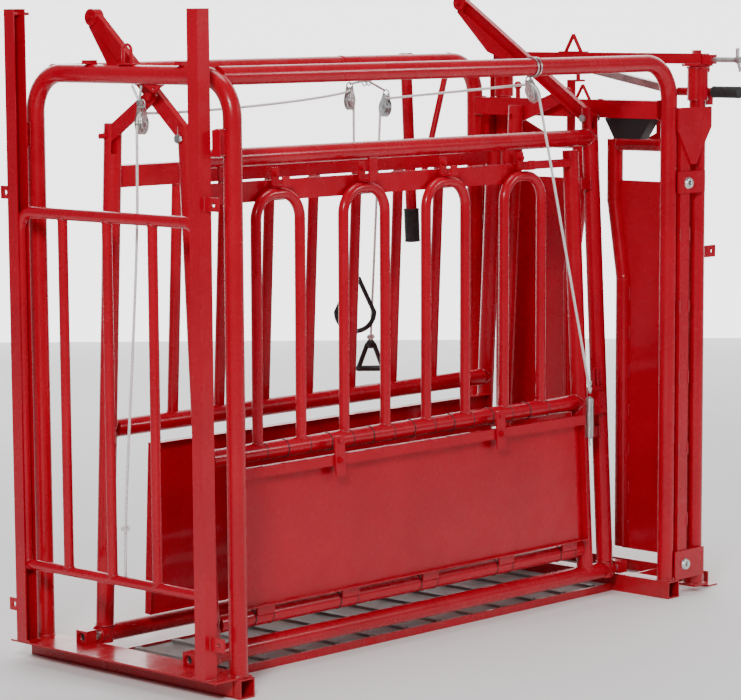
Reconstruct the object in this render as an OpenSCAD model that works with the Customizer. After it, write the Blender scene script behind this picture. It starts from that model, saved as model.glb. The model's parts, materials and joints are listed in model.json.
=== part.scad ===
/* [Overall] */
// Centre line height of the top rails
rail_z = 1957; // [1900:1:2000]
// Half width over the centre lines of the hoops and top rails
rail_y = 468; // [440:1:480]
// Outside diameter of the main tube
main_d = 60.3; // [58:0.1:62]
// Distance from the rear hoop to the front legs
leg_x = 2186; // [2150:1:2200]
// Bend radius of the hoop and rail tubes, on the centre line
bend_r = 130; // [120:1:150]
// Length of the base beams across the chute
beam_l = 1016; // [1000:1:1030]
// Side of the square base beams
beam_s = 63.5; // [60:0.5:64]

/* [Squeeze sides] */
// Half distance between the two squeeze pivots
pivot_y = 260; // [255:1:265]
// Height of the squeeze pivots
pivot_z = 90; // [85:1:95]
// Inward lean of each side when squeezed, in degrees
lean = 2.85; // [2:0.05:3.5]
// Height of the post tops above the pivots
post_h = 1707; // [1690:1:1720]
// Rear post and front post positions along the chute
post_x1 = 80; // [78:1:84]
post_x2 = 2090; // [2080:1:2095]
// Height of the near mid hinge tube above the pivots
mid_h = 635; // [620:1:650]
// Spacing of the drop bars along the chute
bar_step = 408; // [400:1:412]
// Leg spacing of one drop bar
bar_w = 202; // [190:1:210]
// Diameter of the drop bar tube
bar_d = 38; // [34:1:40]

/* [Gates] */
// Position of the tail gate plane
tail_x = -110; // [-111:1:-109]
// Height of the tail channels
channel_top = 2166; // [2120:1:2180]
// Position of the head gate hinge tubes
hinge_x = 2355; // [2350:1:2360]
// Half gap between the neck tubes
neck_y = 85; // [80:1:95]

/* [Ropes] */
// Rope diameter
rope_d = 9; // [8:0.5:10]
// Radius of the rope's centre line on a sheave
sheave_r = 33; // [32:0.5:35]

/* [Hidden] */
$fn = 40;
red = "crimson";
zinc = "silver";
black = "#202020";
main_r = main_d / 2;
gap = 0.35;
front_end = 2500;
rear_end = -135;
near_end = -660;
far_end = 553;
mid_x = (rear_end + front_end) / 2;
mid_y = (near_end + far_end) / 2;
pipe_r = 16.7;
pipe_bore = 16.75;
knuckle_r = 30;
hinge_core_r = 22;
hinge_bore = 22.3;
low_h = 97;
bar_tilt = 3.0;
arm_bolt_h = 1667;
first_bar = 430;
rail_rear_y = 393;
rail_joint_x = 1450;
lever_pivot = [1862, 525, 1957];
lever_tilt = -2.8;
// Where the lever rod is pinned to the lever, and its upper end
rod_pin = lever_pivot + [68.3, -21, -454.2];
rod_top = [2100, 517, 1985];
rear_arm_len = 583;
rear_arm_angle = 41;
front_arm_len = 750;
front_arm_angle = 34;
link_len = 247;
arm_w = 50;
arm_deep = 24;
spring_top = [1950, -300, 760];
spring_h = 190;
spring_r = 15;
sheave_rim = 34.5;
// Height of the head gate's top screw, and of the top handle
screw_z = 1966;
handle_z = 1847;

function unit(v) = v / norm(v);
function ring_point(p, t, ref, r, a) =
    let (u = unit(cross(t, ref)), w = cross(t, u)) p + r * (cos(a) * u + sin(a) * w);
function line(p, q, n) = [for (i = [0:n]) p + (q - p) * i / n];
function heading(p, i) = unit(p[min(i + 1, len(p) - 1)] - p[max(i - 1, 0)]);

// Everything is drawn from the rear hoop's foot line and moved so that the base is centred on the origin
module placed() translate([-mid_x, -mid_y, 0]) children();

module rod(p, q, r) {
    v = q - p;
    translate(p) rotate([0, acos(v[2] / norm(v)), atan2(v[1], v[0])]) cylinder(h = norm(v), r = r);
}

// A swept tube through a list of points
module sweep(points, r, sides, ref) {
    n = len(points);
    verts = [for (i = [0:n - 1]) for (k = [0:sides - 1])
        ring_point(points[i], heading(points, i), ref, r, 360 * k / sides)];
    walls = [for (i = [0:n - 2]) for (k = [0:sides - 1])
        [i * sides + k, (i + 1) * sides + k, (i + 1) * sides + (k + 1) % sides, i * sides + (k + 1) % sides]];
    polyhedron(verts, concat([[for (k = [0:sides - 1]) k]], walls,
        [[for (k = [sides - 1:-1:0]) (n - 1) * sides + k]]), convexity = 6);
}

// A quarter bend in the XZ plane, from the vertical at x = r to the horizontal at z = r
module bend_tube(r, tube_r)
    rotate([90, 0, 0]) rotate_extrude(angle = 90) translate([r, 0]) circle(r = tube_r);

// Local frame of a squeeze side: x along the chute, y inward, z up from the pivot
module side(s) placed() translate([0, s * pivot_y, pivot_z]) rotate([s * lean, 0, 0])
    mirror([0, s > 0 ? 1 : 0, 0]) children();

module box_from(a, b) translate(a) cube(b - a);

module bolt_x(p, head_r, length) translate(p) rotate([0, 90, 0]) {
    cylinder(h = length, r = head_r * 0.55);
    translate([0, 0, -9]) cylinder(h = 9, r = head_r, $fn = 6);
    translate([0, 0, length]) cylinder(h = 9, r = head_r, $fn = 6);
}

// ---------------------------------------------------------------- frame
module square_tube(a, b, wall) difference() {
    box_from(a, b);
    box_from([a[0] + wall, a[1] - 1, a[2] + wall], [b[0] - wall, b[1] + 1, b[2] - wall]);
}

module rear_base_beam() color(red) placed() {
    square_tube([-beam_s / 2, -beam_l / 2, 0], [beam_s / 2, beam_l / 2, beam_s], 5);
    box_from([-130, -beam_l / 2 + 10, beam_s], [beam_s / 2 - 2, beam_l / 2 - 10, beam_s + 6]);
    box_from([-beam_s / 2 - 6, -beam_l / 2 + 30, 8], [-beam_s / 2, beam_l / 2 - 30, beam_s]);
}

module front_base_beam() color(red) placed()
    square_tube([leg_x - beam_s / 2, -beam_l / 2, 0], [leg_x + beam_s / 2, beam_l / 2, beam_s], 5);

module base_rails() color(red) placed() for (s = [-1, 1]) {
    box_from([beam_s / 2 + gap, s * 243 - 3, 0], [leg_x - beam_s / 2 - gap, s * 243 + 3, 28]);
    box_from([beam_s / 2 + gap, s * 226 - 14, 0], [leg_x - beam_s / 2 - gap, s * 226 + 14, 6]);
}

module floor_pan() color("dimgray") placed() {
    box_from([beam_s / 2 + gap, -238, 14], [leg_x - beam_s / 2 - gap, 238, 20]);
    for (x = [180:170:2050]) box_from([x, -225, 20], [x + 25, 225, 30]);
    box_from([leg_x + beam_s / 2 + gap, -238, 14], [2436, 238, 20]);
}

module front_sill() color(red) placed() {
    box_from([2440, -470, 0], [2446, 470, 60]);
    box_from([2446, -470, 0], [front_end, 470, 6]);
    for (s = [-1, 1]) box_from([leg_x + beam_s / 2 + gap, s * 244 - 4, 0], [2440, s * 244 + 4, 45]);
}

module hoop_bend(s, r) translate([0, s * (rail_y - bend_r), rail_z - bend_r]) mirror([0, s < 0 ? 1 : 0, 0])
    rotate([0, 0, 90]) bend_tube(bend_r, r);

module rear_hoop() color(red) placed() {
    foot = beam_s + 6;
    for (s = [-1, 1]) {
        translate([0, s * rail_y, foot]) cylinder(h = rail_z - bend_r - foot, r = main_r);
        hoop_bend(s, main_r);
        // tie plates from the hoop legs to the tail channels
        box_from([-78, s * rail_y - 4, 1715], [-main_r + 3, s * rail_y + 4, 1795]);
        box_from([-84, s * rail_y - 30, 1715], [-78, s * rail_y + 4, 1795]);
    }
    translate([0, -rail_y + bend_r, rail_z]) rotate([-90, 0, 0])
        cylinder(h = 2 * (rail_y - bend_r), r = main_r);
}

module top_rail(s) color(red) placed() {
    y = s * rail_y;
    // the rear length runs in to the hoop, and its end is coped to fit against the hoop's bend
    difference() {
        rod([14, s * rail_rear_y, rail_z], [rail_joint_x + 4, y, rail_z], main_r - 0.25);
        hoop_bend(s, main_r + 0.3);
    }
    translate([rail_joint_x, y, rail_z]) rotate([0, 90, 0])
        cylinder(h = leg_x - bend_r - rail_joint_x, r = main_r);
    translate([leg_x - bend_r, y, rail_z - bend_r]) bend_tube(bend_r, main_r);
    translate([leg_x, y, beam_s + gap]) cylinder(h = rail_z - bend_r - beam_s - gap, r = main_r);
    // weld sleeve where the rail's two lengths meet
    translate([rail_joint_x - 4, y, rail_z]) rotate([0, 90, 0]) cylinder(h = 12, r = main_r + 2);
}
module near_top_rail() top_rail(-1);
module far_top_rail() {
    top_rail(1);
    // pin that the squeeze lever turns on
    color(red) placed() translate([lever_pivot[0], 480, rail_z]) rotate([-90, 0, 0]) cylinder(h = 73, r = 14);
}

module tail_channels() color(red) placed() for (s = [-1, 1]) mirror([0, s < 0 ? 1 : 0, 0]) {
    difference() {
        box_from([rear_end, 411, beam_s + 6 + gap], [-85, 459, channel_top]);
        box_from([rear_end + 5, 400, beam_s], [-90, 454, channel_top + 1]);
    }
    box_from([rear_end, 395, beam_s + 6 + gap], [-85, 411, beam_s + 14]);
    for (z = [165, 1546]) difference() {
        box_from([-114, 459, z], [-106, 519, z + 43]);
        translate([-120, 496, z + 21.5]) rotate([0, 90, 0]) cylinder(h = 20, r = 9);
    }
    // stop pin across the top of the channel
    if (s > 0) translate([rear_end, 430, channel_top - 16]) rotate([0, 90, 0]) cylinder(h = 80, r = 5);
}

module rope_hangers() color(zinc) placed() {
    // rear loop under the hoop, and the V hanger under the far rail
    for (e = [-1, 1]) rod([0, -30 + e * 22, rail_z - main_r - 3], [12, -30, 1868], 4);
    box_from([5, -37, 1861], [19, -23, 1875]);
    for (e = [-1, 1]) rod([1588 + e * 28, rail_y, rail_z - main_r - 3], [1588, rail_y, 1896], 4);
    box_from([1580, rail_y - 7, 1888], [1596, rail_y + 7, 1904]);
    rod([1588, rail_y, 1896], [1500, rail_y, 1884], 4);
    rod([1588, rail_y, 1896], [1684, rail_y, 1856], 4);
    // sling round the near rail
    for (x = [1420, 1436]) translate([x, 1 - rail_y, rail_z]) rotate([0, 90, 0]) difference() {
        cylinder(h = 6, r = main_r + 5);
        translate([0, 0, -1]) cylinder(h = 8, r = main_r + 1.2);
    }
}

module header_beam() color(red) placed() {
    box_from([leg_x - 30, -rail_y + main_r + gap, 1755], [leg_x + 30, rail_y - main_r - gap, 1820]);
    for (y = [-98, -34]) rod([leg_x, y, 1820], [leg_x, -66, 1872], 6);
    translate([leg_x, 250, 1820]) cylinder(h = 40, r = 9);
    translate([leg_x, 250, 1866]) sphere(r = 16);
}

module latch_housing() color(black) placed() difference() {
    translate([leg_x - 24, -189, 0]) rotate([90, 0, 90]) linear_extrude(48)
        polygon([[0, 1754], [-218, 1754], [-167, 1680], [-45, 1680]]);
    translate([leg_x - 19, -189, 0]) rotate([90, 0, 90]) linear_extrude(38)
        polygon([[-14, 1744], [-204, 1744], [-160, 1670], [-52, 1670]]);
}

module top_beam() color(red) placed() {
    box_from([2330, -500, 1950.2], [2380, 500, 1988]);
    for (e = [-1, 1]) rod([2355, 120 + e * 38, 1988], [2355, 120, 2054], 7);
    box_from([2338, 60, 1988], [2372, 180, 1992]);
    translate([2355, -462, 1988]) cylinder(h = 12, r = 17, $fn = 6);
    difference() {
        box_from([2337, -540, 1950.2], [2373, -500, 1984]);
        translate([2355, -560, screw_z]) rotate([-90, 0, 0]) cylinder(h = 70, r = 9.05);
    }
}

module adjusting_screw() color(zinc) placed() {
    translate([2355, -640, screw_z]) rotate([-90, 0, 0]) cylinder(h = 139, r = 9);
    for (e = [-1, 1]) rod([2355, -646, screw_z], [2355 - e * 10, -653, screw_z + e * 38], 6);
    translate([2355, near_end, screw_z]) rotate([-90, 0, 0]) cylinder(h = 20, r = 12);
}

module head_gate_sides() color(red) placed() for (s = [-1, 1]) mirror([0, s < 0 ? 1 : 0, 0]) {
    // bearing sleeves of the hinge tube
    for (z = [[30, 110], [1820, 1937]]) difference() {
        translate([hinge_x, rail_y, z[0]]) cylinder(h = z[1] - z[0], r = 38);
        translate([hinge_x, rail_y, z[0] - 1]) cylinder(h = z[1] - z[0] + 2, r = main_r + 0.05);
    }
    box_from([hinge_x - 42, rail_y - 42, 1942], [hinge_x + 42, rail_y + 36, 1949.8]);
    box_from([hinge_x - 25, rail_y + 30.5, 1920], [hinge_x + 25, rail_y + 36, 1942]);
    box_from([hinge_x - 40, rail_y - 40, 22], [hinge_x + 40, rail_y + 40, 30]);
    // corner plate with its strip on the upper sleeve, straps and the upright between them
    translate([0, 500, 0]) rotate([90, 0, 0]) translate([0, 0, -7]) linear_extrude(7)
        polygon([[2193, 1714], [2270, 1590], [2300, 1590], [2390, 1722], [2390, 1796],
            [hinge_x - 14, 1796], [hinge_x - 14, 1930], [hinge_x - 36, 1930], [hinge_x - 36, 1796],
            [2193, 1796]]);
    box_from([2216.5, 470, 96], [2270, 500, 1714]);
    box_from([2197, 500, 64], [2367, 507, 170]);
    box_from([2197, 500, 1486], [2354, 507, 1565]);
    for (z = [118, 1523]) translate([2252, 507, z]) rotate([-90, 0, 0]) cylinder(h = 11, r = 17, $fn = 6);
}

module pivot_pipes() color(zinc) placed() for (s = [-1, 1]) translate([-12, s * pivot_y, pivot_z])
    rotate([0, 90, 0]) difference() {
        cylinder(h = 2200, r = pipe_r);
        translate([0, 0, -1]) cylinder(h = 2202, r = pipe_r - 4);
    }

module arm_guides() color(red) placed() {
    // plate under the hoop
    translate([-3, 0, 0]) rotate([90, 0, 90]) linear_extrude(6) difference() {
        polygon([[-160, 1926.5], [-110, 1900], [-60, 1926.5]]);
        translate([-110, 1914]) circle(r = 5);
    }
    // loop on top of the hoop
    translate([0, 12, rail_z + main_r]) {
        box_from([-14, -34, gap], [14, 34, 6]);
        for (e = [-1, 1]) translate([0, e * 20, 5]) cylinder(h = 40, r = 5);
        translate([0, 0, 45]) rotate([90, 0, 90]) rotate_extrude(angle = 180) translate([20, 0]) circle(r = 5);
    }
    for (y = [-260, 180]) box_from([-20, y, rail_z + main_r + gap], [20, y + 30, rail_z + main_r + 14]);
    for (s = [-1, 1]) for (x = [-2, leg_x - 20]) translate([x, s * pivot_y, 0]) difference() {
        box_from([-22, -26, beam_s + 6.4], [22, 26, pivot_z + 24]);
        translate([-23, 0, pivot_z]) rotate([0, 90, 0]) cylinder(h = 46, r = pipe_r + 0.05);
    }
}

// Pulleys as [centre, turn about the vertical, lean of the sheave's plane]
rear_pulley = [[20, -30, 1800], 18.6, 0];
far_pulley_1 = [[1497, rail_y, 1824], 18.6, 0];
far_pulley_2 = [[1686, rail_y, 1793], -105, -5.4];
front_pulley = [[1430, -rail_y, 1868], 75, -21.7];

// A point of the rope's centre line on a sheave, at angle a from the horizontal
function on_sheave(p, a) = let (x = [cos(p[1]), sin(p[1]), 0],
    z = [sin(p[2]) * sin(p[1]), -sin(p[2]) * cos(p[1]), cos(p[2])])
    p[0] + sheave_r * (cos(a) * x + sin(a) * z);

// A pulley block: two cheeks, a pin and an eye
module block_at(p, up) translate(p[0]) rotate([p[2], 0, p[1]]) {
    for (e = [-1, 1]) translate([0, e * 10 + 1.5, 0]) rotate([90, 0, 0]) linear_extrude(3) {
        circle(r = 24);
        polygon([[-22, 8], [22, 8], [8.5, up - 5], [-8.5, up - 5]]);
        translate([0, up - 8]) circle(r = 9);
    }
    rotate([90, 0, 0]) translate([0, 0, -13]) cylinder(h = 26, r = 6);
    translate([0, -8.5, up - 8]) rotate([-90, 0, 0]) cylinder(h = 17, r = 5);
}
module pulley_blocks() color(zinc) placed() {
    block_at(rear_pulley, 62);
    for (p = [far_pulley_1, far_pulley_2, front_pulley]) block_at(p, 52);
}

// ---------------------------------------------------------------- tail gate
module tail_gate() color(red) placed() {
    r = 19;
    top = 1507;
    low = 334;
    for (s = [-1, 1]) {
        translate([tail_x, s * 428, low]) cylinder(h = top - 60 - low, r = r);
        translate([tail_x, s * (428 - 60), top - 60]) mirror([0, s < 0 ? 1 : 0, 0])
            rotate([0, 0, 90]) bend_tube(60, r);
    }
    translate([tail_x, -368, top]) rotate([-90, 0, 0]) cylinder(h = 736, r = r);
    translate([tail_x, -428, low]) rotate([-90, 0, 0]) cylinder(h = 856, r = 17);
    for (y = [-215, 0, 215]) translate([tail_x, y, low]) cylinder(h = top - low, r = 16.5);
}

// ---------------------------------------------------------------- squeeze sides
module side_frame(s, slot_a, slot_b) side(s) difference() {
    union() {
        for (x = [post_x1, post_x2]) translate([x, 0, -28]) cylinder(h = post_h + 28, r = main_r);
        translate([post_x1 - 30, 0, 0]) rotate([0, 90, 0]) cylinder(h = post_x2 - post_x1 + 60, r = knuckle_r);
        translate([1975, 0, 0]) cylinder(h = 1555, r = main_r - 0.2);
        for (z = [500, 1410]) box_from([1975, -20, z], [post_x2, 20, z + 40]);
    }
    rotate([0, 90, 0]) cylinder(h = 2300, r = pipe_bore);
    for (p = [slot_a, slot_b]) box_from([p[0], -14, 1610], [p[1], 60, post_h + 1]);
    for (p = [slot_a, slot_b]) box_from([p[0], -45, 1628], [p[1], 0, post_h + 1]);
    for (x = [post_x1, post_x2]) translate([x - 50, 0, arm_bolt_h]) rotate([0, 90, 0])
        cylinder(h = 100, r = 9.05);
}
module near_side_frame() color(red) side_frame(-1, [70, 98], [2072, 2100]);
module far_side_frame() color(red) side_frame(1, [57, 72], [2098, 2113]);

bar_legs = [for (k = [0:3]) for (e = [-1, 1]) first_bar + k * bar_step + e * bar_w / 2];
panel_knuckles = [300, 700, 1100, 1500, 1850];
panel_latches = [640, 1455];
latch_pin_h = 577;
// How far a turning knuckle reaches to each side of its leg or strap
bar_span = [-85, 17];
panel_span = [-40, 40];

// A fixed hinge tube: a core with knuckles between the ones that turn on it
module hinge_line(x1, x2, turning, span) {
    rotate([0, 90, 0]) translate([0, 0, x1]) cylinder(h = x2 - x1, r = hinge_core_r);
    edges = concat([x1], [for (x = turning) each [x + span[0] - 1.5, x + span[1] + 1.5]], [x2]);
    for (i = [0:2:len(edges) - 2]) rotate([0, 90, 0]) translate([0, 0, edges[i]])
        cylinder(h = edges[i + 1] - edges[i], r = knuckle_r);
}
module near_hinge_tubes() color(red) side(-1) {
    translate([0, 0, mid_h]) hinge_line(post_x1 + main_r + gap, 1944, bar_legs, bar_span);
    translate([0, 0, low_h]) hinge_line(post_x1 + main_r + gap, 1944, panel_knuckles, panel_span);
}
module knuckle(x, span) rotate([0, 90, 0]) translate([0, 0, x + span[0]]) difference() {
    cylinder(h = span[1] - span[0], r = knuckle_r + 1);
    translate([0, 0, -1]) cylinder(h = span[1] - span[0] + 2, r = hinge_bore);
}

module near_side_rails() color(red) side(-1) {
    translate([post_x1 + main_r + gap, 0, 1598]) rotate([0, 90, 0])
        cylinder(h = post_x2 - post_x1 - 2 * main_r - 2 * gap, r = main_r);
    box_from([post_x1 + main_r + gap, -24, 1452], [1660, -18, 1519]);
    box_from([post_x1 + main_r + gap, -18, 1513], [1660, 12, 1519]);
    box_from([1660, -24, 1496], [1944, -14, 1526]);
    for (x = [200, 900, 1600]) box_from([x, -14, 1519], [x + 40, -6, 1572]);
}

module arm_bolts() color(zinc) side(-1) {
    for (x = [post_x1, post_x2]) bolt_x([x - 36, 0, arm_bolt_h], 15, 72);
}

module drop_bar(k) color(red) side(-1) {
    x = first_bar + k * bar_step;
    top = 756;
    bend = 85;
    r = bar_d / 2 - 1;
    translate([0, 0, mid_h]) {
        for (e = [-1, 1]) knuckle(x + e * bar_w / 2, bar_span);
        rotate([bar_tilt, 0, 0]) {
            for (e = [-1, 1]) translate([x + e * bar_w / 2, 0, 25]) cylinder(h = top - 25, r = r);
            for (e = [-1, 1]) translate([x, 0, top]) mirror([e < 0 ? 1 : 0, 0, 0])
                translate([bar_w / 2 - bend, 0, 0]) bend_tube(bend, r);
            translate([x - bar_w / 2 + bend, 0, top + bend]) rotate([0, 90, 0])
                cylinder(h = bar_w - 2 * bend, r = r);
        }
    }
}
module drop_bar_1() drop_bar(0);
module drop_bar_2() drop_bar(1);
module drop_bar_3() drop_bar(2);
module drop_bar_4() drop_bar(3);

// A lift-up hook over a drop bar's arch
module bar_latch(k) color(red) side(-1) {
    x = first_bar + k * bar_step;
    box_from([x - 16, -38, 1496], [x + 16, -32, 1560]);
    box_from([x - 16, -82, 1496], [x + 16, -38, 1502]);
    box_from([x - 16, -88, 1496], [x + 16, -82, 1530]);
    box_from([x - 10, -32, 1498], [x + 10, -24.3, 1514]);
    translate([x, -37, 1540]) rotate([90, 0, 0]) cylinder(h = 12, r = 9, $fn = 6);
}
module bar_latch_1() bar_latch(0);
module bar_latch_2() bar_latch(1);
module bar_latch_3() bar_latch(2);
module bar_latch_4() bar_latch(3);

module kick_panel() color(red) side(-1) {
    x0 = 150;
    x1 = 1930;
    low = 140;
    translate([0, 0, low_h]) for (x = panel_knuckles) knuckle(x, panel_span);
    box_from([x0, -37, low], [x1, -34, 592]);
    difference() {
        box_from([x0, -66, 560], [x1, -34, 595]);
        box_from([x0 + 1, -63, 563], [x1 - 1, -37.5, 592]);
    }
    for (x = [x0, x1 - 3]) box_from([x, -60, low], [x + 3, -34, 560]);
    box_from([x0, -60, low - 3], [x1, -34, low]);
    for (x = panel_knuckles) box_from([x - 40, -37, low_h + 10], [x + 40, -31, low]);
    for (x = panel_knuckles) box_from([x - 40, -34, low_h + 8], [x + 40, -24, low_h + 16]);
    for (x = panel_latches) translate([x, -65, latch_pin_h]) rotate([90, 0, 0]) cylinder(h = 24, r = 6);
}

// A tab that turns on a stud of the kick panel's top flange
module panel_latch(x) color(red) side(-1) difference() {
    union() {
        box_from([x - 23, -74, 523], [x + 23, -68, 658]);
        translate([x, -73, latch_pin_h]) rotate([90, 0, 0]) cylinder(h = 10, r = 12, $fn = 6);
    }
    translate([x, -60, latch_pin_h]) rotate([90, 0, 0]) cylinder(h = 40, r = 6.05);
}
module panel_latch_rear() panel_latch(panel_latches[0]);
module panel_latch_front() panel_latch(panel_latches[1]);

module front_latch() color(red) side(-1) {
    translate([2004, -36, 590]) rotate([90, 0, 0]) linear_extrude(10)
        polygon([[-14, 0], [70, 0], [70, 80], [30, 80]]);
    box_from([1985, -37, 585], [2080, -31, 690]);
    for (x = [2018, 2042]) rod([x, -38, 690], [x, -38, 760], 4);
    rod([2018, -38, 760], [2042, -38, 760], 4);
}

far_bars = [for (k = [0:6]) 380 + 217 * k];
module far_side_bars() color(red) side(1) {
    x0 = post_x1 + main_r + gap;
    box_from([x0, -25, 1496], [1944, 5, 1568]);
    translate([x0, 0, 695]) rotate([0, 90, 0]) cylinder(h = 1944 - x0, r = main_r);
    for (x = far_bars) translate([x, -10, 695]) cylinder(h = 801, r = bar_d / 2);
}
module far_panel() color(red) side(1) {
    box_from([232, 31, 50], [1944, 34, 638]);
    box_from([232, 31, 635], [1944, 60, 638]);
    for (x = [232, 1941]) box_from([x, 34, 50], [x + 3, 60, 635]);
    box_from([232, 31, 50], [1944, 60, 53]);
}

// ---------------------------------------------------------------- squeeze linkage
function arm_pin(s) = [s * (pivot_y - arm_bolt_h * sin(lean)), pivot_z + arm_bolt_h * cos(lean)];

// A channel arm that runs up and across from a near post top: x is its closed face
module arm(x, length, angle, open) placed()
    translate([x, arm_pin(-1)[0], arm_pin(-1)[1]]) rotate([angle, 0, 0]) difference() {
        union() {
            box_from([0, -16, -arm_w / 2], [arm_deep, length, arm_w / 2]);
            // knob and its bolt at the far end
            translate([-6, length, 0]) rotate([0, 90, 0]) cylinder(h = arm_deep + 12, r = 28);
            translate([-18, length, 0]) rotate([0, 90, 0]) cylinder(h = arm_deep + 36, r = 8);
            // gusset below the arm
            translate([9, 0, 0]) rotate([90, 0, 90]) linear_extrude(6)
                polygon([[length * 0.45, -24], [length, -24], [length, -40], [length * 0.72, -78]]);
        }
        hollow_x = open > 0 ? [5, arm_deep + 1] : [-1, arm_deep - 5];
        box_from([hollow_x[0], 30, -arm_w / 2 + 5], [hollow_x[1], length - 30, arm_w / 2 - 5]);
        translate([-20, 0, 0]) rotate([0, 90, 0]) cylinder(h = 80, r = 9.05);
    }
module rear_arm() color(red) arm(72, rear_arm_len, rear_arm_angle, 1);
module front_arm() color(red) arm(2074, front_arm_len, front_arm_angle, -1);

// A flat link from a far post top, set at its own angle
module link(x, angle, bolt_side) placed()
    translate([x, arm_pin(1)[0], arm_pin(1)[1]]) rotate([angle, 0, 0]) {
        translate([0, 0, -24]) cube([8, link_len, 48]);
        for (y = [0, link_len]) translate([0, y, 0]) rotate([0, 90, 0]) cylinder(h = 8, r = 24);
        translate([bolt_side < 0 ? -16 : 8, link_len, 0]) rotate([0, 90, 0])
            cylinder(h = 16, r = 15, $fn = 6);
        translate([-34, 0, 0]) rotate([0, 90, 0]) cylinder(h = 76, r = 9);
    }
module rear_link() color(red) link(57.5, 147.9, -1);
module front_link() color(red) link(2104.5, 159.4, 1);

module hung() placed() translate(lever_pivot) rotate([0, lever_tilt, 0]) children();
module squeeze_lever() color(red) hung() {
    difference() {
        union() {
            rotate([90, 0, 0]) translate([0, 0, -22]) cylinder(h = 44, r = 34);
            translate([0, 0, -552]) cylinder(h = 552, r = 21.5);
            box_from([10, -6, -479], [62, 6, -435]);
        }
        rotate([90, 0, 0]) translate([0, 0, -40]) cylinder(h = 80, r = 14.05);
        translate([46, 0, -457]) rotate([90, 0, 0]) translate([0, 0, -20]) cylinder(h = 40, r = 8.05);
    }
    translate([0, 0, -657]) cylinder(h = 105, r = 20);
}
module lever_grip() color(black) hung() difference() {
    translate([0, 0, -677]) cylinder(h = 125, r = 28);
    translate([0, 0, -657]) cylinder(h = 106, r = 20);
}
module lever_rod() color(red) placed() {
    translate(rod_pin + [0, -9, 0]) rotate([-90, 0, 0]) cylinder(h = 22, r = 18);
    rod(rod_pin + [0, 2, 10], rod_top, 12);
    translate(rod_pin + [0, -10, 0]) rotate([-90, 0, 0]) cylinder(h = 48, r = 8);
}

// ---------------------------------------------------------------- head gate
module door(s) placed() mirror([0, s > 0 ? 1 : 0, 0]) {
    r = 30;
    translate([hinge_x, -rail_y, 30 + gap]) cylinder(h = 1911, r = main_r);
    // neck tube: straight, then a long reach outward, then straight to the foot
    rod([hinge_x, -neck_y, 1440], [hinge_x, -neck_y, 1668], r);
    translate([hinge_x, -neck_y, 1440]) sphere(r = r + 0.6);
    rod([hinge_x, -neck_y, 1440], [hinge_x, -130, 1150], r - 0.6);
    translate([hinge_x, -130, 1150]) sphere(r = r + 0.6);
    rod([hinge_x, -130, 1150], [hinge_x, -130, 130], r);
    translate([hinge_x, -rail_y, 1650]) rotate([-90, 0, 0]) cylinder(h = rail_y - neck_y, r = 24);
    translate([hinge_x - 3, 0, 0]) rotate([90, 0, 90]) linear_extrude(6)
        polygon([[-rail_y, 122], [-130, 122], [-130, 1150], [-neck_y, 1440], [-neck_y, 1515],
            [-rail_y, 1515]]);
    translate([hinge_x - 3, 0, 0]) rotate([90, 0, 90]) linear_extrude(6)
        polygon([[-rail_y, 1660], [-neck_y - 120, 1660], [-rail_y, 1780]]);
}
module near_door() color(red) {
    door(-1);
    placed() {
        box_from([hinge_x, -rail_y - 12, 1800], [2432, -rail_y + 12, 1815]);
        box_from([2406, -rail_y - 12, 1800], [2432, -rail_y + 12, 1840]);
        translate([2420, -490, handle_z]) rotate([-90, 0, 0]) cylinder(h = 160, r = 15.5);
        translate([2420, -590, handle_z]) rotate([-90, 0, 0]) cylinder(h = 100, r = 12);
        box_from([hinge_x + 20, -300, 1660], [hinge_x + 28, -262, 1800]);
        box_from([hinge_x + 28, -300, 1792], [2432, -262, 1800]);
        translate([2420, -281, 1800]) cylinder(h = 38, r = 8);
        // lug for the next panel
        difference() {
            box_from([hinge_x + 26, -rail_y - 4, 1240], [2466, -rail_y + 4, 1284]);
            translate([2446, -rail_y - 10, 1262]) rotate([-90, 0, 0]) cylinder(h = 20, r = 8);
        }
    }
}
module far_door() color(red) {
    door(1);
    placed() {
        box_from([hinge_x + 20, 132, 1660], [hinge_x + 28, 168, 1884]);
        box_from([hinge_x + 28, 132, 1876], [2440, 168, 1884]);
        translate([2420, 150, 1884]) cylinder(h = 22, r = 8);
    }
}
module door_grip() color(black) placed() difference() {
    translate([2420, -610, handle_z]) rotate([-90, 0, 0]) cylinder(h = 120, r = 20);
    translate([2420, -590, handle_z]) rotate([-90, 0, 0]) cylinder(h = 101, r = 12);
}
module tie_bar() color(zinc) placed() difference() {
    translate([2420, -281, 1842]) rotate([atan2(80, 431), 0, 0]) box_from([-16, -18, 0], [16, 452, 28]);
    translate([2420, -281, 1800]) cylinder(h = 80, r = 8.05);
    translate([2420, 150, 1880]) cylinder(h = 80, r = 12);
}

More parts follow.
